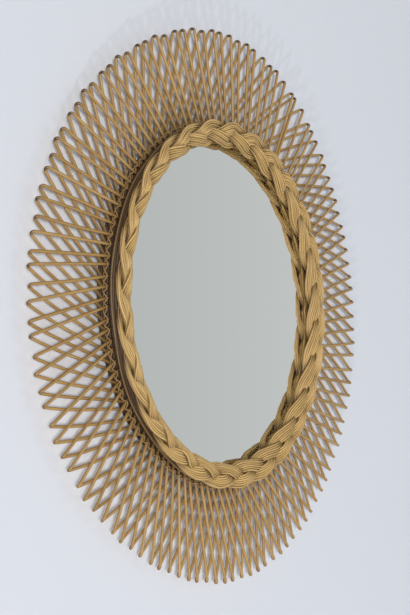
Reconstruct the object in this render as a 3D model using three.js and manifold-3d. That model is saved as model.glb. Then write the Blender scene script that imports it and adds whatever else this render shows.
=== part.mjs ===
// Round wall mirror in a woven cane frame: bent cane loops stand out all round like sun rays, and a
// plait of three flat strands lies over the edge of the glass.
// Millimetres, +Z up. The wall is the plane y = 0 and the front faces -Y, so depth is measured along -Y.

import * as THREE from 'three';
import { mergeGeometries, mergeVertices } from 'three/addons/utils/BufferGeometryUtils.js';
import Module from 'manifold-3d';

const wasm = await Module();
wasm.setup();

// Driving dimensions: lengths in millimetres, angles in degrees, counter-clockwise seen from the front

// Rays
const LOOP_COUNT = 112;
const TIP_RADIUS = 300;
const TIP_WOBBLE = 1.6;
const FIRST_LOOP_AT = 0.9;
const SPACING_WOBBLE = 0.4;
const BUNCHING = 1.1;
const BUNCH_PITCH = 10.6;
const BUNCH_AT = 54.5;
const BUNCH_SPREAD = 15;
const RAY_DEPTH = 13.6;
const CANE_SIDE = 3.2;
const LAYER_OFFSET = 2;
const FOOT_RADIUS = 190;
const FRONT_SWING = 6.3;
const BACK_SWING = 14;
const HOOP_INNER = 186.5;
const HOOP_OUTER = 195.5;
const HOOP_HALF_DEPTH = 3.7;
const HOOP_SEGMENTS = 28;

// Slow drifts of the hand work round the ring, each as times round, size and where it peaks
const TIP_DRIFT = [[3, 4.7, -53], [4, 1.2, -10], [5, 1.5, -1]];
const SPACING_DRIFT = [[1, 0.5, -89], [2, 0.5, -40], [3, 0.9, 22]];
const FRONT_SWING_DRIFT = [[1, 3.1, -87], [2, 2.2, -57]];
const BACK_SWING_DRIFT = [[1, 5, 94], [2, 2.9, 37]];

// Collars
const COLLAR_INNER = 187;
const COLLAR_GROOVE = 1.3;
const COLLAR_SEGMENTS = 30;
const FRONT_COLLAR_OUTER = 193.6;
const FRONT_COLLAR_ROWS = 2;
const FRONT_COLLAR_DEPTH = 7;
const REAR_COLLAR_OUTER = 190.6;
const REAR_COLLAR_ROWS = 3;

// Glass and board
const DISC_SEGMENTS = 40;
const GLASS_RADIUS = 184.5;
const GLASS_THICKNESS = 4;
const GLASS_AHEAD_OF_RAYS = 5.4;
const BOARD_RADIUS = 184.8;

// Plait
const STRAND_COUNT = 3;
const BRAID_RADIUS = 184.6;
const BRAID_AHEAD_OF_RAYS = 15.8;
const BRAID_TILT = 16;
const BRAID_WAVES = 9;
const BRAID_LOBE_AT = 8;
const STATIONS_PER_WAVE = 8;
const STRAND_SWAY = 9.8;
const STRAND_RISE = 4.2;
const BAND_WIDTH = 10.8;
const BAND_THICKNESS = 3;
const BAND_SHOULDER = 0.52;

// Steps of the hand-made unevenness, in radians a loop
const UNEVEN_STEP = 2.4;
const UNEVEN_BEAT = 0.71;

// Pieces that touch keep this gap
const GAP = 0.3;

const FULL_TURN = 360;
const QUARTER_TURN = 90;
const FORWARD = new THREE.Vector3(0, -1, 0);
const BACKWARD = new THREE.Vector3(0, 1, 0);

const CANE = new THREE.MeshStandardMaterial({ color: 0xc39f63, roughness: 0.62, metalness: 0 });
const PLAIT = new THREE.MeshStandardMaterial({ color: 0xc8a667, roughness: 0.58, metalness: 0 });
const SILVERED = new THREE.MeshStandardMaterial({ color: 0xb8bcbb, roughness: 0.03, metalness: 1 });
const BOARD = new THREE.MeshStandardMaterial({ color: 0xa98a60, roughness: 0.8, metalness: 0 });

const radians = THREE.MathUtils.degToRad;
const cosine = (degrees) => Math.cos(radians(degrees));
const sine = (degrees) => Math.sin(radians(degrees));

// A point by its radius from the mirror's axis, its angle and its depth ahead of the wall
function at(radius, angle, depth) {
  return new THREE.Vector3(radius * cosine(angle), -depth, radius * sine(angle));
}

// Hand-made unevenness from -1 to 1, the same on every run
function uneven(index, channel) {
  return Math.sin(index * UNEVEN_STEP + channel) * Math.cos(index * UNEVEN_BEAT + 2 * channel);
}

// Sum of the drifts at an angle
function drift(waves, angle) {
  return waves.reduce((sum, [times, size, peak]) => sum + size * cosine(times * (angle - peak)), 0);
}

// A cane that bends at given stations, with one mitred section at each, turned to face the side it is given
class CanePath extends THREE.Curve {
  constructor(stations, facings) {
    super();
    this.stations = stations;
    this.facings = facings;
    this.last = stations.length - 1;
  }

  getPoint(t, target = new THREE.Vector3()) {
    return target.copy(this.stations[Math.round(t * this.last)]);
  }

  getPointAt(u, target) {
    return this.getPoint(u, target);
  }

  getTangentAt(u, target = new THREE.Vector3()) {
    const index = Math.round(u * this.last);
    return target.addVectors(this.leaving(Math.max(index - 1, 0)), this.leaving(index)).normalize();
  }

  // Direction of the straight that starts at a station, or at the last one ends there
  leaving(index) {
    const start = Math.min(index, this.last - 1);
    return this.stations[start + 1].clone().sub(this.stations[start]).normalize();
  }

  computeFrenetFrames(segments) {
    const tangents = this.stations.map((_, index) => this.getTangentAt(index / segments));
    const normals = this.facings.map((facing, index) => (
      facing.clone().projectOnPlane(tangents[index]).normalize()
    ));
    const binormals = tangents.map((tangent, index) => tangent.clone().cross(normals[index]));
    normals.forEach((normal, index) => normal.divideScalar(tangents[index].dot(this.leaving(index))));
    return { tangents, normals, binormals };
  }
}

function caneAlong(stations, facings) {
  const half = CANE_SIDE / 2;
  const section = new THREE.Shape();
  section.moveTo(-half, -half);
  section.lineTo(half, -half);
  section.lineTo(half, half);
  section.lineTo(-half, half);
  section.closePath();
  return new THREE.ExtrudeGeometry(section, {
    steps: stations.length - 1,
    extrudePath: new CanePath(stations, facings),
  });
}

// Angle of a loop: evenly spaced, with slow drifts, small slips and a few bunches at the upper right
function loopAngle(index) {
  const even = (index * FULL_TURN) / LOOP_COUNT;
  const fromBunches = ((even - BUNCH_AT + FULL_TURN / 2) % FULL_TURN) - FULL_TURN / 2;
  const fade = Math.exp(-((fromBunches / BUNCH_SPREAD) ** 2));
  const bunch = BUNCHING * fade * sine((FULL_TURN * fromBunches) / BUNCH_PITCH);
  return FIRST_LOOP_AT + even + drift(SPACING_DRIFT, even) + bunch + SPACING_WOBBLE * uneven(index, 1);
}

// One hairpin loop: the front leg swings clockwise to its foot, the back leg counter-clockwise
function loop(index) {
  const angle = loopAngle(index);
  const reach = TIP_RADIUS + drift(TIP_DRIFT, angle) + TIP_WOBBLE * uneven(index, 2);
  const tipRadius = reach - CANE_SIDE / 2;
  const frontSwing = FRONT_SWING + drift(FRONT_SWING_DRIFT, angle);
  const backSwing = BACK_SWING + drift(BACK_SWING_DRIFT, angle);
  const frontDepth = RAY_DEPTH + LAYER_OFFSET;
  const backDepth = RAY_DEPTH - LAYER_OFFSET;
  const frontFoot = at(FOOT_RADIUS, angle - frontSwing, frontDepth);
  const backFoot = at(FOOT_RADIUS, angle + backSwing, backDepth);
  const frontTop = at(tipRadius, angle, frontDepth);
  const backTop = at(tipRadius, angle, backDepth);
  const outward = at(1, angle, 0);
  return caneAlong(
    [frontFoot, frontTop, backTop, backFoot],
    [FORWARD, outward, outward, BACKWARD],
  );
}

function ring(profile, segments) {
  const closed = [...profile, profile[0]];
  const points = closed.map(([radius, depth]) => new THREE.Vector2(radius, -depth));
  return new THREE.LatheGeometry(points, segments);
}

function solidFrom(geometry) {
  const bare = geometry.clone();
  bare.deleteAttribute('normal');
  bare.deleteAttribute('uv');
  const merged = mergeVertices(bare, 1e-4);
  return new wasm.Manifold(new wasm.Mesh({
    numProp: 3,
    vertProperties: new Float32Array(merged.attributes.position.array),
    triVerts: new Uint32Array(merged.index.array),
  }));
}

function geometryFrom(solid) {
  const mesh = solid.getMesh();
  const geometry = new THREE.BufferGeometry();
  geometry.setAttribute('position', new THREE.BufferAttribute(mesh.vertProperties, 3));
  geometry.setIndex(new THREE.BufferAttribute(mesh.triVerts, 1));
  geometry.computeVertexNormals();
  return geometry;
}

// All loops with their feet gripped in the woven hoop
function rayLoops() {
  const loops = Array.from({ length: LOOP_COUNT }, (_, index) => loop(index));
  const hoop = ring([
    [HOOP_INNER, RAY_DEPTH + HOOP_HALF_DEPTH],
    [HOOP_OUTER, RAY_DEPTH + HOOP_HALF_DEPTH],
    [HOOP_OUTER, RAY_DEPTH - HOOP_HALF_DEPTH],
    [HOOP_INNER, RAY_DEPTH - HOOP_HALF_DEPTH],
  ], HOOP_SEGMENTS);
  const joined = solidFrom(mergeGeometries(loops)).add(solidFrom(hoop));
  return geometryFrom(joined);
}

// Rows of cane wound one on another: a plain inner wall and one ridge for each row outside
function collar(outer, rearDepth, frontDepth, rows) {
  const rowDepth = (frontDepth - rearDepth) / rows;
  const outside = [];
  for (let row = 0; row < rows; row += 1) {
    outside.push([outer - COLLAR_GROOVE, frontDepth - row * rowDepth]);
    outside.push([outer, frontDepth - (row + 0.5) * rowDepth]);
  }
  outside.push([outer - COLLAR_GROOVE, rearDepth]);
  return ring([[COLLAR_INNER, frontDepth], ...outside, [COLLAR_INNER, rearDepth]], COLLAR_SEGMENTS);
}

function disc(radius, rearDepth, frontDepth) {
  const geometry = new THREE.CylinderGeometry(radius, radius, frontDepth - rearDepth, DISC_SEGMENTS);
  return geometry.translate(0, -(rearDepth + frontDepth) / 2, 0);
}

// Section of a strand's flat band, in halves of its width and of its thickness
const BAND_SECTION = [
  [1, 0],
  [BAND_SHOULDER, 1],
  [-BAND_SHOULDER, 1],
  [-1, 0],
  [-BAND_SHOULDER, -1],
  [BAND_SHOULDER, -1],
];

// A point of a strand, from its place round the plait and its place in the band's section
function strandPoint(around, phase, [across, through]) {
  const wave = phase - BRAID_WAVES * around;
  const slant = Math.atan((-STRAND_SWAY * BRAID_WAVES * cosine(wave)) / BRAID_RADIUS);
  const offset = (across * BAND_WIDTH) / 2;
  const sway = STRAND_SWAY * sine(wave) + offset * Math.cos(slant);
  const rise = STRAND_RISE * sine(2 * wave) + (through * BAND_THICKNESS) / 2;
  const along = -offset * Math.sin(slant);
  const angle = around + THREE.MathUtils.radToDeg(along / BRAID_RADIUS);
  const radius = BRAID_RADIUS + sway * cosine(BRAID_TILT) - rise * sine(BRAID_TILT);
  const ahead = BRAID_AHEAD_OF_RAYS + sway * sine(BRAID_TILT) + rise * cosine(BRAID_TILT);
  return at(radius, angle, RAY_DEPTH + ahead);
}

// A closed strand: a ring of band sections that sways in and out and rises over its neighbours
function strand(index) {
  const stations = BRAID_WAVES * STATIONS_PER_WAVE;
  const sides = BAND_SECTION.length;
  const phase = QUARTER_TURN + BRAID_WAVES * BRAID_LOBE_AT + (index * FULL_TURN) / STRAND_COUNT;
  const geometry = new THREE.TorusGeometry(BRAID_RADIUS, BAND_WIDTH / 2, sides, stations);
  const position = geometry.attributes.position;
  for (let side = 0; side <= sides; side += 1) {
    for (let station = 0; station <= stations; station += 1) {
      const around = ((station % stations) * FULL_TURN) / stations;
      const point = strandPoint(around, phase, BAND_SECTION[side % sides]);
      position.setXYZ(side * (stations + 1) + station, point.x, point.y, point.z);
    }
  }
  geometry.computeVertexNormals();
  return geometry;
}

const mirror = new THREE.Group();

function addPiece(name, geometry, material) {
  const mesh = new THREE.Mesh(geometry, material);
  mesh.name = name;
  mirror.add(mesh);
}

const glassFront = RAY_DEPTH + GLASS_AHEAD_OF_RAYS;
const glassRear = glassFront - GLASS_THICKNESS;
const hoopRear = RAY_DEPTH - HOOP_HALF_DEPTH;
const collarRear = RAY_DEPTH + HOOP_HALF_DEPTH + GAP;
const collarFront = collarRear + FRONT_COLLAR_DEPTH;

addPiece('back_board', disc(BOARD_RADIUS, 0, glassRear - GAP), BOARD);
addPiece('mirror_glass', disc(GLASS_RADIUS, glassRear, glassFront), SILVERED);
addPiece('ray_loops', rayLoops(), CANE);
addPiece('rear_collar', collar(REAR_COLLAR_OUTER, 0, hoopRear - GAP, REAR_COLLAR_ROWS), CANE);
addPiece('front_collar', collar(FRONT_COLLAR_OUTER, collarRear, collarFront, FRONT_COLLAR_ROWS), CANE);
for (let index = 0; index < STRAND_COUNT; index += 1) {
  addPiece(`braid_strand_${index + 1}`, strand(index), PLAIT);
}

export default mirror;
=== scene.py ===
"""Looks of a round wall mirror in a woven cane frame.

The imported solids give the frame: the wall is the plane y = 0, the front faces -Y and +Z is up. Lengths are
in metres, and depth is measured from the wall along -Y. Every cane is swept here as a mesh of its own.
"""

import logging
import math
from dataclasses import dataclass, field
from enum import Enum, IntEnum

import bpy
import numpy as np
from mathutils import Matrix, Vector


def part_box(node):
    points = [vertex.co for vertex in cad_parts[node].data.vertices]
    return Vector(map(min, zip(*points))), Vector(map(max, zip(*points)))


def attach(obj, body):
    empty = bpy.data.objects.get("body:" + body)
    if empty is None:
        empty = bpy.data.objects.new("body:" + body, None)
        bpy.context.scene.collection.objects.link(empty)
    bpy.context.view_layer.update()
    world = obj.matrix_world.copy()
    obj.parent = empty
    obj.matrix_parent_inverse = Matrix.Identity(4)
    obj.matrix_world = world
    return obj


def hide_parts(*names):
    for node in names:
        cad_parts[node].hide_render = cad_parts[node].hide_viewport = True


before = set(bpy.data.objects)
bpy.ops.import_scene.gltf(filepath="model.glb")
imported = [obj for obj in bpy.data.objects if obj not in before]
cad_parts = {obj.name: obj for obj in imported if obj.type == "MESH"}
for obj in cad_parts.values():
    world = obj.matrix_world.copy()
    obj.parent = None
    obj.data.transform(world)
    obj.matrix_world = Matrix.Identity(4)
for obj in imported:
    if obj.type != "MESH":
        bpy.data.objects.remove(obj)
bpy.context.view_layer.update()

log = logging.getLogger("cane_mirror")

BODY = "root"
FULL_TURN = 2 * math.pi
BACKWARD = np.array([0.0, 1.0, 0.0])

# Image that the camera is set for, in pixels
IMAGE_HEIGHT = 615

# Steps of the hand-made unevenness, in radians a cane
UNEVEN_STEP = 2.4
UNEVEN_BEAT = 0.71

# Tone of a cane halfway between its pale and its warm colour
MIDDLE_TONE = 0.5

# Length of grain left out between one cane and the next
GRAIN_GAP = 1.0

# Brings the peak of s * s * (1 - s) to 1
BULGE_SCALE = 6.75

# Points on each eased edge of a pane, and the easing of the two panes
EASE_STEPS = 5
GLASS_EASING = 0.0006
BOARD_EASING = 0.0015

# Silver face of the mirror behind the front of its glass, as it looks through the glass
SILVER_DEPTH = 0.0022

# Middle of the plait ahead of the loops
PLAIT_AHEAD = 0.0158

Triple = tuple[float, float, float]
Colour = Triple

WARM_LIGHT: Colour = (1.0, 0.985, 0.96)
COOL_LIGHT: Colour = (0.96, 0.975, 1.0)

# Slow drifts of the hand work round the ring, each as times round, size and where it peaks in degrees
Drift = tuple[tuple[int, float, float], ...]


class Slot(Enum):
    """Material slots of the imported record."""

    CANE = "cane"
    PLAIT = "plait"
    MIRROR = "mirror"
    BOARD = "board"


class Layer(Enum):
    """Side of the sunburst that a leg of a loop lies on."""

    FRONT = 1
    BACK = -1


class Use(IntEnum):
    """Uses of the hand-made unevenness, each with values of its own."""

    SPACING = 1
    REACH = 2
    RAY_TONE = 3
    BURN = 4
    FRONT_BOW = 5
    BACK_BOW = 6
    RAY_GIRTH = 7
    ROW_TONE = 8
    PLAIT_GIRTH = 9
    PLAIT_TONE = 10
    WEAVE_OVER = 11
    WEAVE_BETWEEN = 12


def uneven(index: int, use: Use) -> float:
    """Works out hand-made unevenness, the same on every run.

    Args:
        index: Number of the cane.
        use: What the unevenness is for.

    Returns:
        A value from -1 to 1.
    """
    return np.sin(index * UNEVEN_STEP + use) * np.cos(index * UNEVEN_BEAT + 2 * use)


def drift(waves: Drift, angle: float) -> float:
    """Adds up slow drifts at one place round the ring.

    Args:
        waves: The drifts.
        angle: Angle in radians, counter-clockwise seen from the front.

    Returns:
        The sum of the drifts, in their own unit.
    """
    return sum(size * math.cos(times * (angle - math.radians(peak))) for times, size, peak in waves)


def at(radius: np.ndarray | float, angle: np.ndarray | float, depth: np.ndarray | float) -> np.ndarray:
    """Places points by their radius from the mirror's axis, angle and depth ahead of the wall.

    Args:
        radius: Distance from the axis.
        angle: Angle in radians, counter-clockwise seen from the front.
        depth: Distance ahead of the wall.

    Returns:
        An array of points, one for each place.
    """
    radius, angle, depth = np.broadcast_arrays(radius, angle, depth)
    return np.stack([radius * np.cos(angle), -depth, radius * np.sin(angle)], axis=-1)


def unit(vectors: np.ndarray) -> np.ndarray:
    """Returns the vectors at length 1."""
    return vectors / np.linalg.norm(vectors, axis=-1, keepdims=True)


def smooth_closed(stations: np.ndarray, steps: int) -> np.ndarray:
    """Rounds a closed run of stations with a curve that passes through each of them.

    Args:
        stations: Points that the curve passes through, in order.
        steps: Points of the curve for each station.

    Returns:
        The points of the curve.
    """
    before, after = np.roll(stations, 1, axis=0), np.roll(stations, -1, axis=0)
    beyond = np.roll(stations, -2, axis=0)
    parts = []
    for step in range(steps):
        t = step / steps
        pull = (after - before) * t + (2 * before - 5 * stations + 4 * after - beyond) * t**2
        turn = (3 * stations - before - 3 * after + beyond) * t**3
        parts.append(stations + (pull + turn) / 2)
    return np.stack(parts, axis=1).reshape(-1, 3)


def new_mesh_object(name: str, points: np.ndarray, faces: list[np.ndarray]) -> bpy.types.Object:
    """Makes a mesh object from points and from arrays of faces, each array with faces of one size.

    Args:
        name: Name of the object.
        points: Places of the vertices.
        faces: Arrays of vertex numbers, one row for each face.

    Returns:
        The object, linked to the scene.
    """
    mesh = bpy.data.meshes.new(name)
    mesh.from_pydata(points.tolist(), [], [face for group in faces for face in group.tolist()])
    mesh.validate()
    made = bpy.data.objects.new(name, mesh)
    bpy.context.scene.collection.objects.link(made)
    return made


@dataclass
class CaneBundle:
    """Canes swept along their paths and gathered in one mesh.

    Each corner keeps its place on the straight cane, before it was bent, as the fibre attribute, so that
    the grain runs along the cane. Each vertex keeps its cane's tone and how dark the cane is there, from
    burns and from painted shade. Painted shade also darkens both flanks of a cane, a quarter turn from
    its facing.
    """

    sides: int
    # Painted shade on both flanks of each cane, and how sharply it falls off towards the front and back
    painted_shade: float = 0.0
    painted_shade_falloff: int = 3
    points: list[np.ndarray] = field(default_factory=list)
    quads: list[np.ndarray] = field(default_factory=list)
    caps: list[np.ndarray] = field(default_factory=list)
    fibres: list[np.ndarray] = field(default_factory=list)
    cap_fibres: list[np.ndarray] = field(default_factory=list)
    tones: list[np.ndarray] = field(default_factory=list)
    burns_and_shades: list[np.ndarray] = field(default_factory=list)
    used: int = 0
    length: float = 0.0

    def add(
        self,
        path: np.ndarray,
        facing: np.ndarray,
        radius: np.ndarray | float,
        closed: bool,
        tone: float,
        burn_and_shade: np.ndarray | float = 0.0,
    ) -> None:
        """Sweeps one cane.

        Args:
            path: Points of the cane's centre line.
            facing: Direction that the first side of the section turns to, never along the cane.
            radius: Radius of the cane, the same all along or one value for each point.
            closed: True for a cane that runs round to its own start.
            tone: Tone of the cane, from 0 to 1.
            burn_and_shade: How dark the cane is, burned and in painted shade, the same all along or one value
                for each point.
        """
        count = len(path)
        if closed:
            tangent = unit(np.roll(path, -1, axis=0) - np.roll(path, 1, axis=0))
        else:
            tangent = unit(np.gradient(path, axis=0))
        side = unit(facing - np.sum(facing * tangent, axis=1, keepdims=True) * tangent)
        across = np.cross(tangent, side)
        turn = np.linspace(0, FULL_TURN, self.sides, endpoint=False)
        girth = np.broadcast_to(radius, (count,))[:, None]
        flat = np.stack([girth * np.cos(turn), girth * np.sin(turn)], axis=-1)
        ring = flat[..., :1] * side[:, None] + flat[..., 1:] * across[:, None]
        self.points.append((path[:, None] + ring).reshape(-1, 3))

        numbers = self.used + np.arange(count * self.sides).reshape(count, self.sides)
        wrapped = np.vstack([numbers, numbers[:1]]) if closed else numbers
        here, there = wrapped[:-1], wrapped[1:]
        quad = np.stack([here, np.roll(here, -1, axis=1), np.roll(there, -1, axis=1), there], axis=-1)
        self.quads.append(quad.reshape(-1, 4))

        run = np.vstack([path, path[:1]]) if closed else path
        legs = np.linalg.norm(np.diff(run, axis=0), axis=1)
        along = self.length + np.concatenate([[0.0], np.cumsum(legs)])
        rings = np.vstack([flat, flat[:1]]) if closed else flat
        place = np.concatenate([np.broadcast_to(along[:, None, None], rings[..., :1].shape), rings], axis=-1)
        near, far = place[:-1], place[1:]
        corner = np.stack([near, np.roll(near, -1, axis=1), np.roll(far, -1, axis=1), far], axis=2)
        self.fibres.append(corner.reshape(-1, 3))
        if not closed:
            self.caps.append(np.stack([numbers[0][::-1], numbers[-1]]))
            self.cap_fibres.append(np.concatenate([place[0][::-1], place[-1]]))

        # Painted shade on both flanks, added to the burns and painted shade given for each point
        flank_shade = self.painted_shade * np.abs(np.sin(turn)) ** self.painted_shade_falloff
        burn = np.broadcast_to(burn_and_shade, (count,))[:, None] + flank_shade
        self.burns_and_shades.append(burn.ravel())
        self.tones.append(np.full(count * self.sides, tone))
        self.used += count * self.sides
        self.length = along[-1] + GRAIN_GAP

    def build(self, name: str) -> bpy.types.Object:
        """Makes the mesh object with all canes added so far.

        Args:
            name: Name of the object.

        Returns:
            The object.
        """
        quads = np.concatenate(self.quads)
        faces = [quads, np.concatenate(self.caps)] if self.caps else [quads]
        made = new_mesh_object(name, np.concatenate(self.points), faces)
        mesh = made.data
        smooth = np.ones(len(mesh.polygons), dtype=bool)
        smooth[len(quads):] = False
        mesh.polygons.foreach_set("use_smooth", smooth)
        fibre = np.concatenate(self.fibres + self.cap_fibres).astype(np.float32)
        mesh.attributes.new("fibre", "FLOAT_VECTOR", "CORNER").data.foreach_set("vector", fibre.ravel())
        tone = np.concatenate(self.tones).astype(np.float32)
        mesh.attributes.new("tone", "FLOAT", "POINT").data.foreach_set("value", tone)
        # How dark each vertex is, from burns and from painted shade
        burn_and_shade = np.concatenate(self.burns_and_shades).astype(np.float32)
        mesh.attributes.new("burn_and_shade", "FLOAT", "POINT").data.foreach_set("value", burn_and_shade)
        return made


class ShaderSketch:
    """Adds nodes to a shader tree and joins them."""

    def __init__(self, tree: bpy.types.NodeTree) -> None:
        """Keeps the tree and clears its nodes."""
        self.tree = tree
        self.tree.nodes.clear()

    def node(
        self, kind: str, inputs: dict[str | int, object] | None = None, **settings: object
    ) -> bpy.types.Node:
        """Adds a node.

        Args:
            kind: Blender's name of the node type.
            inputs: Values or sockets for its inputs, by the input's name or number.
            settings: Values for its properties.

        Returns:
            The node.
        """
        made = self.tree.nodes.new(kind)
        for name, value in settings.items():
            setattr(made, name, value)
        for name, value in (inputs or {}).items():
            self.feed(made.inputs[name], value)
        return made

    def feed(self, socket: bpy.types.NodeSocket, value: object) -> None:
        """Links a socket to the value, or sets the value on it.

        Args:
            socket: Input of a node.
            value: Value, or the socket that it comes from.
        """
        if isinstance(value, bpy.types.NodeSocket):
            self.tree.links.new(value, socket)
        else:
            socket.default_value = value

    def mix(self, factor: object, first: object, second: object) -> bpy.types.NodeSocket:
        """Mixes two colours.

        Args:
            factor: Share of the second colour.
            first: Colour or socket at factor 0.
            second: Colour or socket at factor 1.

        Returns:
            The socket with the mixed colour.
        """
        made = self.tree.nodes.new("ShaderNodeMix")
        made.data_type = "RGBA"
        colours = [socket for socket in made.inputs if socket.type == "RGBA"]
        self.feed(made.inputs["Factor"], factor)
        self.feed(colours[0], first)
        self.feed(colours[1], second)
        return next(socket for socket in made.outputs if socket.type == "RGBA")

    def combine(self, operation: str, first: object, second: object) -> bpy.types.NodeSocket:
        """Works out a value from two others, clamped from 0 to 1.

        Args:
            operation: Blender's name of the operation.
            first: First value or socket.
            second: Second value or socket.

        Returns:
            The socket with the result.
        """
        made = self.tree.nodes.new("ShaderNodeMath")
        made.operation = operation
        made.use_clamp = True
        self.feed(made.inputs[0], first)
        self.feed(made.inputs[1], second)
        return made.outputs["Value"]

    def span(
        self, value: object, low: float, high: float, to_low: float, to_high: float
    ) -> bpy.types.NodeSocket:
        """Maps a value from one range to another, clamped at the ends.

        Args:
            value: Value or socket to map.
            low: Start of the range that it comes from.
            high: End of that range.
            to_low: Start of the range that it goes to.
            to_high: End of that range.

        Returns:
            The socket with the mapped value.
        """
        made = self.node(
            "ShaderNodeMapRange",
            {"Value": value, "From Min": low, "From Max": high, "To Min": to_low, "To Max": to_high},
        )
        return made.outputs["Result"]

    def noise(self, vector: object, stretch: Triple, detail: float) -> bpy.types.NodeSocket:
        """Adds noise on a stretched vector.

        Args:
            vector: Socket with the place on the surface.
            stretch: Waves of noise for each metre, along each axis.
            detail: Octaves of the noise.

        Returns:
            The socket with the noise, from 0 to 1.
        """
        scaled = self.node("ShaderNodeVectorMath", {0: vector, 1: stretch}, operation="MULTIPLY")
        place = scaled.outputs["Vector"]
        made = self.node("ShaderNodeTexNoise", {"Vector": place, "Scale": 1.0, "Detail": detail})
        return made.outputs["Fac"]

    def group(self, tree: bpy.types.NodeTree, inputs: dict[str, object]) -> bpy.types.NodeOutputs:
        """Adds a shader group.

        Args:
            tree: The group.
            inputs: Values or sockets for its inputs, by name.

        Returns:
            The group's outputs, by name.
        """
        made = self.tree.nodes.new("ShaderNodeGroup")
        made.node_tree = tree
        for name, value in inputs.items():
            self.feed(made.inputs[name], value)
        return made.outputs

    def relief(self, height: object, strength: float, distance: float) -> bpy.types.NodeSocket:
        """Turns a height into relief.

        Args:
            height: Socket with the height, from 0 to 1.
            strength: Strength of the relief.
            distance: Height of the relief.

        Returns:
            The socket with the normal.
        """
        made = self.node("ShaderNodeBump", {"Strength": strength, "Distance": distance, "Height": height})
        return made.outputs["Normal"]

    def principled(self, inputs: dict[str, object]) -> None:
        """Ends a material with a Principled shader that has these inputs."""
        shader = self.node("ShaderNodeBsdfPrincipled", inputs)
        self.node("ShaderNodeOutputMaterial", {"Surface": shader.outputs["BSDF"]})


def opaque(colour: Colour) -> tuple[float, float, float, float]:
    """Returns the colour with full alpha."""
    return (*colour, 1.0)


class EffectLibrary:
    """Shader groups that more than one finish uses, each built once.

    Stretches are in waves of noise for each metre, along the cane and then on its section.
    """

    FINE_FIBRE: Triple = (22.0, 1500.0, 1500.0)
    COARSE_FIBRE: Triple = (9.0, 520.0, 520.0)
    SLOW_TONE: Triple = (28.0, 60.0, 60.0)
    SPECKS: Triple = (900.0, 900.0, 900.0)
    TONE_DRIFT = 0.3
    THIN_LINES = 0.6
    WIDE_LINES = 0.7
    SMOOTH = 0.42
    ROUGH = 0.62
    COARSE_RELIEF = 0.4

    def __init__(self) -> None:
        """Builds the groups."""
        self.cane_grain = self._cane_grain()
        self.mottle = self._mottle()

    @staticmethod
    def _group(name: str, inputs: dict[str, str], outputs: dict[str, str]) -> bpy.types.NodeTree:
        """Makes an empty group with named sockets.

        Args:
            name: Name of the group.
            inputs: Socket types of its inputs, by name.
            outputs: Socket types of its outputs, by name.

        Returns:
            The group.
        """
        tree = bpy.data.node_groups.new(name, "ShaderNodeTree")
        for label, kind in inputs.items():
            tree.interface.new_socket(name=label, in_out="INPUT", socket_type=kind)
        for label, kind in outputs.items():
            tree.interface.new_socket(name=label, in_out="OUTPUT", socket_type=kind)
        return tree

    def _cane_grain(self) -> bpy.types.NodeTree:
        """Builds the grain of peeled cane: long fibres, slow changes of tone, and the dark of burned bends
        and painted shade.

        Returns:
            The group.
        """
        tree = self._group(
            "cane_grain",
            {
                "Fibre": "NodeSocketVector",
                "Tone": "NodeSocketFloat",
                "BurnAndShade": "NodeSocketFloat",
                "Pale": "NodeSocketColor",
                "Warm": "NodeSocketColor",
                "Brown": "NodeSocketColor",
                "BurntAndShaded": "NodeSocketColor",
                "Streaks": "NodeSocketFloat",
            },
            {"Color": "NodeSocketColor", "Roughness": "NodeSocketFloat", "Height": "NodeSocketFloat"},
        )
        sketch = ShaderSketch(tree)
        given = sketch.node("NodeGroupInput").outputs
        fine = sketch.noise(given["Fibre"], self.FINE_FIBRE, 3.0)
        coarse = sketch.noise(given["Fibre"], self.COARSE_FIBRE, 2.0)
        slow = sketch.noise(given["Fibre"], self.SLOW_TONE, 2.0)
        change = sketch.span(slow, 0.3, 0.7, -self.TONE_DRIFT, self.TONE_DRIFT)
        warmth = sketch.combine("ADD", given["Tone"], change)
        plain = sketch.mix(warmth, given["Pale"], given["Warm"])
        thin_lines = sketch.span(fine, 0.5, 0.72, 0.0, self.THIN_LINES)
        wide_lines = sketch.span(coarse, 0.5, 0.75, 0.0, self.WIDE_LINES)
        lines = sketch.combine("ADD", thin_lines, wide_lines)
        streaks = sketch.combine("MULTIPLY", lines, given["Streaks"])
        streaked = sketch.mix(streaks, plain, given["Brown"])
        # Mixes in the dark colour at burns and where shade is painted
        burnt_and_shaded = sketch.mix(given["BurnAndShade"], streaked, given["BurntAndShaded"])
        ridges = sketch.combine("MULTIPLY", coarse, self.COARSE_RELIEF)
        sketch.node(
            "NodeGroupOutput",
            {
                "Color": burnt_and_shaded,
                "Roughness": sketch.span(fine, 0.3, 0.7, self.SMOOTH, self.ROUGH),
                "Height": sketch.combine("SUBTRACT", fine, ridges),
            },
        )
        return tree

    def _mottle(self) -> bpy.types.NodeTree:
        """Builds soft patches of two colours, with fine specks for the height.

        Returns:
            The group.
        """
        tree = self._group(
            "mottle",
            {
                "Place": "NodeSocketVector",
                "Patch": "NodeSocketFloat",
                "Low": "NodeSocketColor",
                "High": "NodeSocketColor",
            },
            {"Color": "NodeSocketColor", "Height": "NodeSocketFloat"},
        )
        sketch = ShaderSketch(tree)
        given = sketch.node("NodeGroupInput").outputs
        patches = sketch.node(
            "ShaderNodeTexNoise", {"Vector": given["Place"], "Scale": given["Patch"], "Detail": 4.0}
        )
        specks = sketch.noise(given["Place"], self.SPECKS, 2.0)
        share = sketch.span(patches.outputs["Fac"], 0.3, 0.7, 0.0, 1.0)
        colour = sketch.mix(share, given["Low"], given["High"])
        sketch.node("NodeGroupOutput", {"Color": colour, "Height": specks})
        return tree


def new_material(name: str) -> tuple[bpy.types.Material, ShaderSketch]:
    """Makes an empty node material.

    Args:
        name: Name of the material.

    Returns:
        The material and the sketch of its tree.
    """
    material = bpy.data.materials.new(name)
    material.use_nodes = True
    return material, ShaderSketch(material.node_tree)


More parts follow.
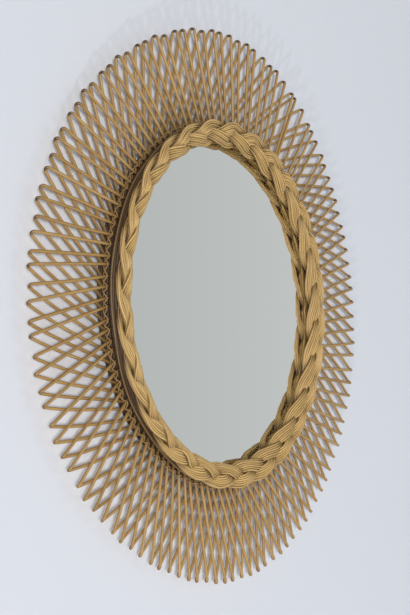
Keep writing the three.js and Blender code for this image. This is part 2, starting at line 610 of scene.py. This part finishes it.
@dataclass(frozen=True)
class CaneFinish:
    """Finish of bare cane."""

    name: str
    pale: Colour
    warm: Colour
    brown: Colour
    # Dark colour mixed in at burns and where shade is painted
    burnt_and_shaded: Colour = (0.045, 0.022, 0.008)
    streaks: float = 0.5
    relief: float = 0.35
    relief_height: float = 0.0002

    def material(self, effects: EffectLibrary) -> bpy.types.Material:
        """Makes the material.

        Args:
            effects: Shader groups to use.

        Returns:
            The material.
        """
        material, sketch = new_material(self.name)
        attribute = {
            label: sketch.node("ShaderNodeAttribute", attribute_name=label).outputs
            for label in ("fibre", "tone", "burn_and_shade")
        }
        grain = sketch.group(
            effects.cane_grain,
            {
                "Fibre": attribute["fibre"]["Vector"],
                "Tone": attribute["tone"]["Fac"],
                "BurnAndShade": attribute["burn_and_shade"]["Fac"],
                "Pale": opaque(self.pale),
                "Warm": opaque(self.warm),
                "Brown": opaque(self.brown),
                "BurntAndShaded": opaque(self.burnt_and_shaded),
                "Streaks": self.streaks,
            },
        )
        normal = sketch.relief(grain["Height"], self.relief, self.relief_height)
        sketch.principled({"Base Color": grain["Color"], "Roughness": grain["Roughness"], "Normal": normal})
        return material


RAY_CANE = CaneFinish("ray_cane", (0.56, 0.358, 0.136), (0.445, 0.26, 0.084), (0.185, 0.096, 0.031))
ROW_CANE = CaneFinish("row_cane", (0.35, 0.22, 0.093), (0.26, 0.153, 0.058), (0.13, 0.068, 0.025))
# Near-black cane for the rows deep in the rim: painted shade, with a little dirt at the hoop
PAINTED_SHADE_CANE = CaneFinish("painted_shade_cane", (0.062, 0.034, 0.015), (0.043, 0.022, 0.01), (0.024, 0.012, 0.005))
COLLAR_CANE = CaneFinish("collar_cane", (0.21, 0.13, 0.055), (0.155, 0.09, 0.035), (0.08, 0.042, 0.016))
PLAIT_CANE = CaneFinish("plait_cane", (0.68, 0.465, 0.188), (0.55, 0.345, 0.118), (0.165, 0.083, 0.027))


@dataclass(frozen=True)
class SilveredFinish:
    """Finish of the mirror: clean silver, a little hazed, worn at the rim, and darker towards -X as a painted
    reflection of shade.
    """

    name: str = "silvered_glass"
    # Silver towards -X, darker as a painted reflection of shade, and how far either side of the middle the
    # change runs
    painted_shade_silver: Colour = (0.83, 0.845, 0.84)
    silver: Colour = (0.955, 0.97, 0.965)
    painted_shade_reach: float = 0.17
    worn: Colour = (0.42, 0.43, 0.4)
    wear_from: float = 0.176
    wear_to: float = 0.1845
    clean: float = 0.012
    hazed: float = 0.03
    haze_patch: Triple = (7.0, 7.0, 7.0)

    def material(self) -> bpy.types.Material:
        """Makes the material.

        Returns:
            The material.
        """
        material, sketch = new_material(self.name)
        place = sketch.node("ShaderNodeTexCoord").outputs["Object"]
        flat = sketch.node("ShaderNodeVectorMath", {0: place, 1: (1.0, 0.0, 1.0)}, operation="MULTIPLY")
        reach = sketch.node("ShaderNodeVectorMath", {0: flat.outputs["Vector"]}, operation="LENGTH")
        wear = sketch.span(reach.outputs["Value"], self.wear_from, self.wear_to, 0.0, 1.0)
        # Painted reflection of shade: the silver is darker towards -X
        across = sketch.node("ShaderNodeSeparateXYZ", {0: place}).outputs["X"]
        side = sketch.span(across, -self.painted_shade_reach, self.painted_shade_reach, 0.0, 1.0)
        silver = sketch.mix(side, opaque(self.painted_shade_silver), opaque(self.silver))
        haze = sketch.noise(place, self.haze_patch, 4.0)
        colour = sketch.mix(wear, silver, opaque(self.worn))
        roughness = sketch.span(haze, 0.4, 0.8, self.clean, self.hazed)
        sketch.principled({"Base Color": colour, "Roughness": roughness, "Metallic": 1.0})
        return material


@dataclass(frozen=True)
class BoardFinish:
    """Finish of the bare back board."""

    name: str = "pressed_board"
    low: Colour = (0.30, 0.19, 0.10)
    high: Colour = (0.42, 0.29, 0.165)
    patch: float = 38.0
    roughness: float = 0.82
    relief: float = 0.4
    relief_height: float = 0.0004

    def material(self, effects: EffectLibrary) -> bpy.types.Material:
        """Makes the material.

        Args:
            effects: Shader groups to use.

        Returns:
            The material.
        """
        material, sketch = new_material(self.name)
        place = sketch.node("ShaderNodeTexCoord").outputs["Object"]
        mottle = sketch.group(
            effects.mottle,
            {"Place": place, "Patch": self.patch, "Low": opaque(self.low), "High": opaque(self.high)},
        )
        normal = sketch.relief(mottle["Height"], self.relief, self.relief_height)
        sketch.principled({"Base Color": mottle["Color"], "Roughness": self.roughness, "Normal": normal})
        return material


@dataclass(frozen=True)
class PaintFinish:
    """Matt pale paint of the studio's wall and floor, clear when seen from behind."""

    name: str
    low: Colour
    high: Colour
    patch: float = 1.3

    def material(self, effects: EffectLibrary) -> bpy.types.Material:
        """Makes the material.

        Args:
            effects: Shader groups to use.

        Returns:
            The material.
        """
        material, sketch = new_material(self.name)
        place = sketch.node("ShaderNodeTexCoord").outputs["Object"]
        mottle = sketch.group(
            effects.mottle,
            {"Place": place, "Patch": self.patch, "Low": opaque(self.low), "High": opaque(self.high)},
        )
        paint = sketch.node("ShaderNodeBsdfDiffuse", {"Color": mottle["Color"]})
        clear = sketch.node("ShaderNodeBsdfTransparent")
        behind = sketch.node("ShaderNodeNewGeometry").outputs["Backfacing"]
        layers = {"Fac": behind, 1: paint.outputs["BSDF"], 2: clear.outputs["BSDF"]}
        mixed = sketch.node("ShaderNodeMixShader", layers)
        sketch.node("ShaderNodeOutputMaterial", {"Surface": mixed.outputs["Shader"]})
        return material


WALL_PAINT = PaintFinish("wall_paint", (0.785, 0.815, 0.885), (0.80, 0.83, 0.90))
FLOOR_PAINT = PaintFinish("floor_paint", (0.74, 0.74, 0.74), (0.78, 0.78, 0.78))


def settle(piece: bpy.types.Object, slot: Slot, material: bpy.types.Material, *replaced: str) -> None:
    """Dresses a piece and ties it to the mirror's body.

    Args:
        piece: The piece.
        slot: Record's slot of the piece; not used.
        material: Material of the piece.
        replaced: Names of the solids that the piece stands for.
    """
    piece.data.materials.append(material)
    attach(piece, BODY)
    if replaced:
        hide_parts(*replaced)
    log.info("%s: %d faces", piece.name, len(piece.data.polygons))


@dataclass
class RaySunburst:
    """Ring of bent cane loops.

    The front leg of a loop swings clockwise to its foot, the back leg the other way. Drifts and swings are
    in degrees, tip drifts in metres.
    """

    depth: float
    loop_count: int = 112
    tip_radius: float = 0.300
    tip_drift: Drift = ((3, 0.0047, -53), (4, 0.0012, -10), (5, 0.0015, -1))
    tip_wobble: float = 0.0016
    first_at: float = math.radians(0.9)
    spacing_drift: Drift = ((1, 0.5, -89), (2, 0.5, -40), (3, 0.9, 22))
    spacing_wobble: float = math.radians(0.4)
    bunching: float = math.radians(1.1)
    bunch_pitch: float = math.radians(10.6)
    bunch_at: float = math.radians(54.5)
    bunch_spread: float = math.radians(15)
    layer_offset: float = 0.0019
    cane_radius: float = 0.0016
    solid_side: float = 0.0032
    foot_end: float = 0.1897
    front_swing: float = 6.3
    front_swing_drift: Drift = ((1, 3.1, -87), (2, 2.2, -57))
    back_swing: float = 14.0
    back_swing_drift: Drift = ((1, 5.0, 94), (2, 2.9, 37))
    bend_radius: float = 0.0026
    bend_side: float = 0.0017
    bow: float = 0.0011
    bulge: float = 0.0016
    kink_length: float = 0.0029
    burn: float = 0.72
    burn_drift: Drift = ((1, 0.4, 70),)
    burn_wobble: float = 0.15
    # Painted shade, with a little dirt, near the feet where the legs go in among the rows; painted shade on
    # the flanks of each cane
    foot_shade_and_dirt: float = 0.55
    front_shade_and_dirt_length: float = 0.012
    back_shade_and_dirt_length: float = 0.034
    flank_painted_shade: float = 0.34
    girth_wobble: float = 0.06
    tone_spread: float = 0.42
    bend_handle: float = 2 / 3
    leg_steps: int = 14
    bend_steps: int = 12
    sides: int = 10

    def angle(self, index: int) -> float:
        """Works out where a loop's tip is: evenly spaced, with drifts, small slips and a few bunches.

        Args:
            index: Number of the loop.

        Returns:
            The angle in radians.
        """
        even = index * FULL_TURN / self.loop_count
        from_bunches = (even - self.bunch_at + math.pi) % FULL_TURN - math.pi
        fade = math.exp(-((from_bunches / self.bunch_spread) ** 2))
        bunch = self.bunching * fade * math.sin(FULL_TURN * from_bunches / self.bunch_pitch)
        slow = math.radians(drift(self.spacing_drift, even))
        return self.first_at + even + slow + bunch + self.spacing_wobble * uneven(index, Use.SPACING)

    def reach(self, index: int) -> float:
        """Works out the radius that a loop's cane reaches at its centre line.

        Args:
            index: Number of the loop.

        Returns:
            The radius.
        """
        slow = drift(self.tip_drift, self.angle(index))
        wobble = self.tip_wobble * uneven(index, Use.REACH)
        return self.tip_radius + slow + wobble - self.solid_side / 2

    def swing(self, index: int, layer: Layer) -> float:
        """Works out the angle from a loop's tip to the foot of one leg.

        Args:
            index: Number of the loop.
            layer: Side that the leg lies on.

        Returns:
            The angle in radians.
        """
        angle = self.angle(index)
        if layer is Layer.FRONT:
            return -math.radians(self.front_swing + drift(self.front_swing_drift, angle))
        return math.radians(self.back_swing + drift(self.back_swing_drift, angle))

    def leg(self, index: int, layer: Layer) -> tuple[np.ndarray, np.ndarray]:
        """Places one leg of a loop.

        Args:
            index: Number of the loop.
            layer: Side that the leg lies on.

        Returns:
            The foot of the leg and its top, where the bend starts.
        """
        angle = self.angle(index)
        depth = self.depth + layer.value * self.layer_offset
        top_radius = self.reach(index) - self.bend_radius
        foot = at(self.foot_end, angle + self.swing(index, layer), depth)
        top = at(top_radius, angle - layer.value * self.bend_side / top_radius, depth)
        return foot, top

    def crossing_angle(self, index: int, radius: float) -> float:
        """Works out where a loop's front leg crosses a radius.

        Args:
            index: Number of the loop.
            radius: The radius.

        Returns:
            The angle in radians.
        """
        foot, top = self.leg(index, Layer.FRONT)
        share = (radius - self.foot_end) / (np.linalg.norm(top[[0, 2]]) - self.foot_end)
        point = foot + (top - foot) * share
        return math.atan2(point[2], point[0])

    def path(self, index: int) -> tuple[np.ndarray, np.ndarray]:
        """Lays out the centre line of one loop.

        Args:
            index: Number of the loop.

        Returns:
            The points from the front foot over the tip to the back foot, and how dark each is, from 0 to 1:
            burns at the bend, and painted shade with a little dirt at the feet.
        """
        front_foot, front_top = self.leg(index, Layer.FRONT)
        back_foot, back_top = self.leg(index, Layer.BACK)
        sideways = at(1.0, self.angle(index) + FULL_TURN / 4, 0.0)
        share = np.linspace(0, 1, self.leg_steps, endpoint=False)[:, None]
        belly = np.sin(math.pi * share) * self.bow
        front_bow = belly * uneven(index, Use.FRONT_BOW) * sideways
        back_bow = belly * uneven(index, Use.BACK_BOW) * sideways
        front = front_foot + (front_top - front_foot) * share + front_bow
        back = back_foot + (back_top - back_foot) * share + back_bow
        back += BULGE_SCALE * self.bulge * share**2 * (1 - share) * sideways
        handle = np.linalg.norm(back_top - front_top) * self.bend_handle
        controls = (
            front_top,
            front_top + unit(front_top - front_foot) * handle,
            back_top + unit(back_top - back[-1]) * handle,
            back_top,
        )
        t = np.linspace(0, 1, self.bend_steps)[:, None]
        weights = ((1 - t) ** 3, 3 * t * (1 - t) ** 2, 3 * t**2 * (1 - t), t**3)
        bend = sum(weight * control for weight, control in zip(weights, controls))
        points = np.concatenate([front, bend, back[::-1]])
        along = np.concatenate([[0.0], np.cumsum(np.linalg.norm(np.diff(points, axis=0), axis=1))])
        middle = np.mean(along[self.leg_steps:self.leg_steps + self.bend_steps])
        kink = np.exp(-(((along - middle) / self.kink_length) ** 2))
        wobble = self.burn_wobble * uneven(index, Use.BURN)
        burn = self.burn + drift(self.burn_drift, self.angle(index)) + wobble
        # Painted shade, with a little dirt, near both feet
        front_shade_and_dirt = np.exp(-((along / self.front_shade_and_dirt_length) ** 2))
        back_shade_and_dirt = np.exp(-(((along[-1] - along) / self.back_shade_and_dirt_length) ** 2))
        return points, burn * kink + self.foot_shade_and_dirt * (front_shade_and_dirt + back_shade_and_dirt)

    def build(self, finish: bpy.types.Material) -> bpy.types.Object:
        """Sweeps all loops.

        Args:
            finish: Material of the canes.

        Returns:
            The piece with all loops.
        """
        bundle = CaneBundle(self.sides, self.flank_painted_shade)
        for index in range(self.loop_count):
            points, dark = self.path(index)
            radius = self.cane_radius * (1 + self.girth_wobble * uneven(index, Use.RAY_GIRTH))
            tone = MIDDLE_TONE + self.tone_spread * uneven(index, Use.RAY_TONE)
            bundle.add(points, BACKWARD, radius, False, tone, dark)
        piece = bundle.build("ray_canes")
        settle(piece, Slot.CANE, finish, "ray_loops")
        return piece


@dataclass
class TwinedRow:
    """Two thin canes twined round the front legs, each in front of every other leg."""

    rays: RaySunburst
    weavers: int = 2
    cane_radius: float = 0.0007
    over_radius: float = 0.1957
    between_radius: float = 0.1978
    twist: float = 0.0006
    waver: float = 0.0008
    leg_clearance: float = 0.0002
    first_tone: float = 0.7
    tone_step: float = 0.3
    steps: int = 4
    sides: int = 8

    def path(self, weaver: int) -> np.ndarray:
        """Lays out one weaver.

        Args:
            weaver: Number of the weaver.

        Returns:
            The points of its closed centre line.
        """
        loops = range(self.rays.loop_count)
        angles = np.unwrap([self.rays.crossing_angle(index, self.over_radius) for index in loops])
        following = np.append(angles[1:], angles[0] + FULL_TURN)
        leg_depth = self.rays.depth + self.rays.layer_offset
        lift = self.rays.cane_radius + self.cane_radius + self.leg_clearance
        stations = []
        for index, (angle, after) in enumerate(zip(angles, following)):
            side = 1 if (index + weaver) % self.weavers == 0 else -1
            over = self.over_radius + self.waver * uneven(index, Use.WEAVE_OVER)
            slip = self.waver * uneven(index, Use.WEAVE_BETWEEN)
            between = self.between_radius - side * self.twist + slip
            stations.append(at(over, angle, leg_depth + side * lift))
            stations.append(at(between, (angle + after) / 2, leg_depth))
        return smooth_closed(np.array(stations), self.steps)

    def build(self, finish: bpy.types.Material) -> bpy.types.Object:
        """Sweeps the weavers.

        Args:
            finish: Material of the canes.

        Returns:
            The piece with both weavers.
        """
        bundle = CaneBundle(self.sides)
        for weaver in range(self.weavers):
            tone = self.first_tone + self.tone_step * weaver
            bundle.add(self.path(weaver), BACKWARD, self.cane_radius, True, tone)
        piece = bundle.build("twined_row")
        settle(piece, Slot.CANE, finish)
        return piece


@dataclass
class WoundRows:
    """Rows of cane wound round the rim, one on another, in rings of given radius."""

    name: str
    radii: tuple[float, ...]
    depths: tuple[float, ...]
    cane_radius: float
    replaced: tuple[str, ...] = ()
    waver: float = 0.0003
    sway_waves: int = 7
    rise_waves: int = 11
    tone_spread: float = 0.4
    stations: int = 200
    sides: int = 10

    def build(self, finish: bpy.types.Material) -> bpy.types.Object:
        """Sweeps the rows.

        Args:
            finish: Material of the canes.

        Returns:
            The piece with all rows.
        """
        bundle = CaneBundle(self.sides)
        angle = np.linspace(0, FULL_TURN, self.stations, endpoint=False)
        for row, depth in enumerate(self.depths):
            for ring, radius in enumerate(self.radii):
                number = row + ring * len(self.depths)
                sway = self.waver * np.sin(self.sway_waves * angle + number)
                rise = self.waver * np.sin(self.rise_waves * angle + 2 * number)
                tone = MIDDLE_TONE + self.tone_spread * uneven(number, Use.ROW_TONE)
                bundle.add(at(radius + sway, angle, depth + rise), BACKWARD, self.cane_radius, True, tone)
        piece = bundle.build(self.name)
        settle(piece, Slot.CANE, finish, *self.replaced)
        return piece


@dataclass
class RimRows:
    """Rows of cane round the feet of the loops and under the plait.

    The hoop, collar and backing rows are placed from the loops' depth, the seat from the front of the glass
    and the rear rows from the wall.
    """

    ray_depth: float
    glass_front: float
    hoop_radius: float = 0.1879
    hoop_offset: float = 0.0019
    hoop_cane: float = 0.00185
    collar_radii: tuple[float, ...] = (0.1914, 0.1936)
    collar_ahead: float = 0.0081
    collar_cane: float = 0.0011
    collar_waver: float = 0.0006
    backing_radii: tuple[float, ...] = (0.1911, 0.1889)
    backing_ahead: tuple[float, ...] = (0.0085, 0.0116)
    backing_cane: float = 0.0017
    rear_radius: float = 0.1888
    rear_depths: tuple[float, ...] = (0.0016, 0.0048, 0.0080)
    rear_cane: float = 0.0016
    seat_radii: tuple[float, ...] = (0.1826, 0.1860)
    seat_ahead: tuple[float, ...] = (0.0019, 0.0054)
    seat_cane: float = 0.0018

    def hoop(self) -> WoundRows:
        """Returns the hoop between the feet of the loops."""
        depths = (self.ray_depth - self.hoop_offset, self.ray_depth + self.hoop_offset)
        return WoundRows("hoop_rows", (self.hoop_radius,), depths, self.hoop_cane)

    def collar(self) -> WoundRows:
        """Returns the row in front of the feet."""
        depths, solids = (self.ray_depth + self.collar_ahead,), ("front_collar",)
        return WoundRows("front_row", self.collar_radii, depths, self.collar_cane, solids, self.collar_waver)

    def backing(self) -> WoundRows:
        """Returns the rows between the collar and the plait, which are finished in painted shade."""
        depths = tuple(self.ray_depth + ahead for ahead in self.backing_ahead)
        return WoundRows("backing_rows", self.backing_radii, depths, self.backing_cane)

    def rear(self) -> WoundRows:
        """Returns the rows behind the feet, back to the wall."""
        return WoundRows("rear_rows", (self.rear_radius,), self.rear_depths, self.rear_cane, ("rear_collar",))

    def seat(self) -> WoundRows:
        """Returns the rows that the plait sits on, over the edge of the glass."""
        depths = tuple(self.glass_front + ahead for ahead in self.seat_ahead)
        return WoundRows("seat_rows", self.seat_radii, depths, self.seat_cane)


@dataclass
class PlaitedRim:
    """Plait of three strands over the edge of the glass, each a flat band of canes laid side by side.

    A strand sways in and out, rises over its neighbours, and rolls as it passes between them. The plait
    leans a little, so that one side of the mirror has it nearer to the glass.
    """

    depth: float
    radius: float = 0.1846
    tilt: float = math.radians(16)
    lean: float = 0.0018
    set_back: float = 0.0007
    waves: int = 9
    lobe_at: float = math.radians(6.2)
    strands: int = 3
    canes: int = 6
    cane_radius: float = 0.00120
    band_width: float = 0.0140
    layer: float = 0.00105
    crown: float = 0.35
    sag: float = 0.0012
    sway: float = 0.0080
    lobe_skew: float = -0.04
    dwell: float = 0.35
    rise: float = 0.0036
    roll: float = 0.38
    roll_waves: int = 3
    slip: float = 0.00022
    slip_waves: int = 4
    slip_shift: int = 3
    # Painted shade where a strand passes under another, a little behind where it dives, and painted shade in
    # the grooves between canes
    painted_shade: float = 0.55
    painted_shade_lag: float = 0.9
    painted_shade_falloff: float = 1.5
    groove_painted_shade: float = 0.6
    girth_wobble: float = 0.04
    tone_spread: float = 0.45
    stations_a_wave: int = 30
    sides: int = 12

    def section(self) -> list[tuple[float, float]]:
        """Lays out the canes of a strand: a front row, and a back row in the gaps behind it.

        Returns:
            The place of each cane across the strand and through it.
        """
        pitch = self.band_width / self.canes
        front = [((cane - (self.canes - 1) / 2) * pitch, self.layer) for cane in range(self.canes)]
        back = [((cane - (self.canes - 2) / 2) * pitch, -self.layer) for cane in range(self.canes - 1)]
        return front + back

    def cane_path(
        self, strand: int, cane: int, place: tuple[float, float]
    ) -> tuple[np.ndarray, np.ndarray]:
        """Lays out one cane of a strand.

        Args:
            strand: Number of the strand.
            cane: Number of the cane in the strand.
            place: Place of the cane across the strand and through it.

        Returns:
            The points of its closed centre line, and how much painted shade each has, from 0 to 1: most
            where the strand passes under another.
        """
        around = np.linspace(0, FULL_TURN, self.waves * self.stations_a_wave, endpoint=False)
        phase = FULL_TURN / 4 + self.waves * self.lobe_at + strand * FULL_TURN / self.strands
        even = phase - self.waves * around
        wave = even + self.dwell * np.sin(even)
        pace = self.waves * (1 + self.dwell * np.cos(even))
        slip_at = (cane + self.slip_waves) * around + self.slip_shift * strand + cane
        offset = place[0] + self.slip * np.sin(slip_at)
        edge = (2 * place[0] / self.band_width) ** 2
        height = place[1] * (1 - self.crown * edge) - self.sag * edge
        slant = np.arctan(-self.sway * pace * np.cos(wave) / self.radius)
        roll = np.arctan(self.roll * np.cos(self.roll_waves * wave))
        across = offset * np.cos(roll) - height * np.sin(roll)
        middle = self.sway * (np.sin(wave) - self.lobe_skew * np.cos(2 * wave))
        sway = middle + across * np.cos(slant)
        rise = self.rise * np.sin(2 * wave) + offset * np.sin(roll) + height * np.cos(roll)
        angle = around - across * np.sin(slant) / self.radius
        radius = self.radius + sway * math.cos(self.tilt) - rise * math.sin(self.tilt)
        ahead = sway * math.sin(self.tilt) + rise * math.cos(self.tilt)
        leaning = -self.set_back - self.lean * np.cos(angle)
        # Painted shade where the strand passes under another
        under = np.clip(-np.sin(2 * wave - self.painted_shade_lag), 0, 1)
        painted_shade = self.painted_shade * under**self.painted_shade_falloff
        return at(radius, angle, self.depth + ahead + leaning), painted_shade

    def build(self, finish: bpy.types.Material) -> list[bpy.types.Object]:
        """Sweeps the strands.

        Args:
            finish: Material of the canes.

        Returns:
            The pieces, one for each strand.
        """
        pieces = []
        for strand in range(self.strands):
            bundle = CaneBundle(self.sides, self.groove_painted_shade)
            places = self.section()
            for cane, place in enumerate(places):
                number = strand * len(places) + cane
                radius = self.cane_radius * (1 + self.girth_wobble * uneven(number, Use.PLAIT_GIRTH))
                tone = MIDDLE_TONE + self.tone_spread * uneven(number, Use.PLAIT_TONE)
                points, painted_shade = self.cane_path(strand, cane, place)
                bundle.add(points, BACKWARD, radius, True, tone, painted_shade)
            piece = bundle.build(f"plait_{strand + 1}")
            settle(piece, Slot.PLAIT, finish, f"braid_strand_{strand + 1}")
            pieces.append(piece)
        return pieces


@dataclass
class Pane:
    """Round flat sheet with an eased edge, in the place of a solid of the frame.

    A sheet can be sunk behind the solid's front, as the silver on the back of a mirror's glass is.
    """

    name: str
    node: str
    slot: Slot
    easing: float
    sunk: float = 0.0
    segments: int = 160

    def build(self, finish: bpy.types.Material) -> bpy.types.Object:
        """Turns the sheet.

        Args:
            finish: Material of the sheet.

        Returns:
            The piece.
        """
        low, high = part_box(self.node)
        radius = (high[0] - low[0]) / 2
        front, back = -low[1] - self.sunk, -high[1]
        ease = np.linspace(0, FULL_TURN / 4, EASE_STEPS)
        inner = radius - self.easing
        reach = inner + self.easing * np.concatenate([np.sin(ease), np.cos(ease)])
        shoulder = front - self.easing * (1 - np.cos(ease))
        heel = back + self.easing * (1 - np.sin(ease))
        depth = np.concatenate([shoulder, heel])
        angle = np.linspace(0, FULL_TURN, self.segments, endpoint=False)
        rings = at(reach[:, None], angle, depth[:, None])
        numbers = np.arange(len(rings) * self.segments).reshape(-1, self.segments)
        here, there = numbers[:-1], numbers[1:]
        rim = np.stack([here, there, np.roll(there, -1, axis=1), np.roll(here, -1, axis=1)], axis=-1)
        ends = np.stack([numbers[0], numbers[-1][::-1]])
        piece = new_mesh_object(self.name, rings.reshape(-1, 3), [rim.reshape(-1, 4), ends])
        smooth = np.ones(len(piece.data.polygons), dtype=bool)
        smooth[-2:] = False
        piece.data.polygons.foreach_set("use_smooth", smooth)
        settle(piece, self.slot, finish, self.node)
        return piece


@dataclass
class SoftLight:
    """Soft round lamp, aimed at the mirror.

    Where pieces are given, it lights only them and only they shade it.
    """

    name: str
    place: Triple
    size: float
    power: float
    colour: Colour
    mirrored: bool = False
    only_on: tuple[bpy.types.Object, ...] = ()

    def build(self) -> None:
        """Hangs the lamp."""
        lamp = bpy.data.lights.new(self.name, "AREA")
        lamp.shape = "DISK"
        lamp.size = self.size
        lamp.energy = self.power
        lamp.color = self.colour
        made = bpy.data.objects.new(self.name, lamp)
        made.location = self.place
        made.rotation_euler = (-Vector(self.place)).to_track_quat("-Z", "Y").to_euler()
        made.visible_camera = False
        made.visible_glossy = self.mirrored
        bpy.context.scene.collection.objects.link(made)
        if self.only_on:
            lit = bpy.data.collections.new(f"{self.name}_lit")
            for piece in self.only_on:
                lit.objects.link(piece)
            made.light_linking.receiver_collection = lit
            made.light_linking.blocker_collection = lit


@dataclass
class Studio:
    """Pale wall and floor, soft light and the camera."""

    effects: EffectLibrary
    orbit_depth: float
    wall_half: float = 4.0
    floor_height: float = -1.75
    wall_gap: float = 0.0008
    camera_azimuth: float = math.radians(-55.3)
    camera_elevation: float = math.radians(-4.81)
    camera_distance: float = 1.498
    aim_across: float = -0.0252
    aim_height: float = -0.005
    focal_pixels: float = 1381.2
    sensor: float = 36.0
    seen_room: Colour = (0.545, 0.563, 0.559)
    room_light: Colour = (0.185, 0.19, 0.195)

    def _sheet(self, name: str, corners: list[Triple], finish: PaintFinish) -> None:
        """Makes a sheet of the stage.

        Args:
            name: Name of the sheet.
            corners: Its four corners, in order.
            finish: Its paint.
        """
        made = new_mesh_object(name, np.array(corners), [np.array([[0, 1, 2, 3]])])
        made.data.materials.append(finish.material(self.effects))
        made.visible_shadow = False

    def build_room(self) -> None:
        """Makes the wall, the floor and the even light of the room."""
        half, floor, gap = self.wall_half, self.floor_height, self.wall_gap
        wall = [(-half, gap, floor), (half, gap, floor), (half, gap, half), (-half, gap, half)]
        self._sheet("wall", wall, WALL_PAINT)
        ground = [(-half, -half, floor), (half, -half, floor), (half, half, floor), (-half, half, floor)]
        self._sheet("floor", ground, FLOOR_PAINT)
        world = bpy.data.worlds.new("room")
        bpy.context.scene.world = world
        world.use_nodes = True
        sketch = ShaderSketch(world.node_tree)
        diffuse = sketch.node("ShaderNodeLightPath").outputs["Is Diffuse Ray"]
        colour = sketch.mix(diffuse, opaque(self.seen_room), opaque(self.room_light))
        light = sketch.node("ShaderNodeBackground", {"Color": colour, "Strength": 1.0})
        sketch.node("ShaderNodeOutputWorld", {"Surface": light.outputs["Background"]})

    def build_lights(self, rim: tuple[bpy.types.Object, ...]) -> None:
        """Hangs the lamps.

        Args:
            rim: Pieces round the glass, which throws the key's light back on them.
        """
        lamps = (
            SoftLight("key", (-8.7, -8.2, -0.9), 2.2, 930.0, WARM_LIGHT, mirrored=True),
            SoftLight("low", (-2.09, -0.95, -2.51), 0.075, 25.0, WARM_LIGHT),
            SoftLight("side", (-2.6, -1.4, -0.3), 1.6, 6.0, COOL_LIGHT),
            SoftLight("front", (1.4, -2.7, 0.0), 2.0, 10.5, COOL_LIGHT),
            SoftLight("behind", (1.5, 1.6, 0.6), 1.5, 20.0, COOL_LIGHT),
            SoftLight("thrown_back", (-8.7, 8.2, -0.9), 2.2, 200.0, WARM_LIGHT, only_on=rim),
        )
        for lamp in lamps:
            lamp.build()

    def build_camera(self) -> None:
        """Sets up the camera at the photograph's place."""
        data = bpy.data.cameras.new("camera")
        data.sensor_width = self.sensor
        data.lens = self.sensor * self.focal_pixels / IMAGE_HEIGHT
        made = bpy.data.objects.new("camera", data)
        level = self.camera_distance * math.cos(self.camera_elevation)
        made.location = (
            level * math.sin(self.camera_azimuth),
            -self.orbit_depth - level * math.cos(self.camera_azimuth),
            self.camera_distance * math.sin(self.camera_elevation),
        )
        aim = Vector((self.aim_across, -self.orbit_depth, self.aim_height))
        made.rotation_euler = (aim - made.location).to_track_quat("-Z", "Y").to_euler()
        bpy.context.scene.collection.objects.link(made)
        bpy.context.scene.camera = made
        bpy.context.scene.view_settings.view_transform = "Standard"


def main() -> None:
    """Builds the mirror and the studio."""
    logging.basicConfig(level=logging.INFO, format="%(name)s: %(message)s")
    effects = EffectLibrary()
    ray_cane = RAY_CANE.material(effects)
    row_cane = ROW_CANE.material(effects)
    painted_shade_cane = PAINTED_SHADE_CANE.material(effects)

    ray_low, ray_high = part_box("ray_loops")
    ray_depth = -(ray_low[1] + ray_high[1]) / 2
    glass_front = -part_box("mirror_glass")[0][1]
    rays = RaySunburst(ray_depth)
    rays.build(ray_cane)
    TwinedRow(rays).build(row_cane)
    rows = RimRows(ray_depth, glass_front)
    # The hoop, backing and rear rows take the near-black cane: painted shade deep in the rim
    rows.hoop().build(painted_shade_cane)
    rows.collar().build(COLLAR_CANE.material(effects))
    backing = rows.backing().build(painted_shade_cane)
    rear = rows.rear().build(painted_shade_cane)
    seat = rows.seat().build(ray_cane)
    plait = PlaitedRim(ray_depth + PLAIT_AHEAD).build(PLAIT_CANE.material(effects))
    pane = Pane("mirror_pane", "mirror_glass", Slot.MIRROR, GLASS_EASING, SILVER_DEPTH)
    pane.build(SilveredFinish().material())
    board = Pane("board", "back_board", Slot.BOARD, BOARD_EASING)
    board.build(BoardFinish().material(effects))

    studio = Studio(effects, ray_depth)
    studio.build_room()
    studio.build_lights((backing, rear, seat, *plait))
    studio.build_camera()

    bpy.context.view_layer.update()


if __name__ == "__main__":
    main()
